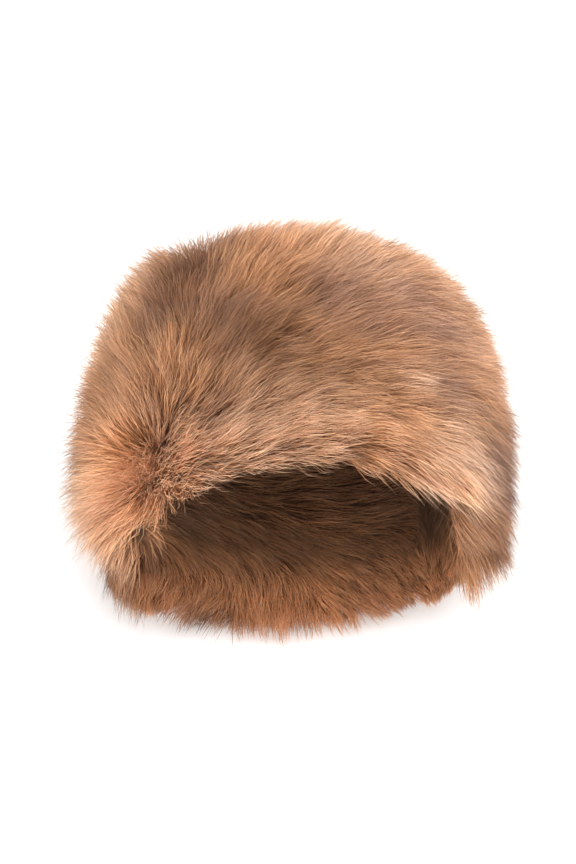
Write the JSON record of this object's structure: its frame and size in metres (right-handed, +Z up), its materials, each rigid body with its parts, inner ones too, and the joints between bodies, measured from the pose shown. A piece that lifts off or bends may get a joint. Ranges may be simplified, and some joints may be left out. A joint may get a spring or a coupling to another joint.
{
  "type": "kubanka hat",
  "caption": "Round brimless hat of long shaggy pile fabric, lying on the back of its band, with its wide head opening to the front and its closed crown end to the rear",
  "frame": {"origin": "under the middle of the hat's bounding box, on the surface that the hat lies on", "axes": "+Z up from that surface; -Y out of the head opening, which faces front; +Y towards the closed crown; +X to the right seen from the opening"},
  "size_m": [0.2544, 0.2044, 0.1946],
  "materials": {
    "band_pile": "long shaggy pile, golden tan with cream and mauve-brown patches",
    "crown_pile": "long shaggy pile, as the band",
    "lining_pile": "shorter brown pile"
  },
  "bodies": {
    "root": {"side_band": "band_pile", "crown_panel": "crown_pile", "fur_lining": "lining_pile"}
  },
  "joints": []
}
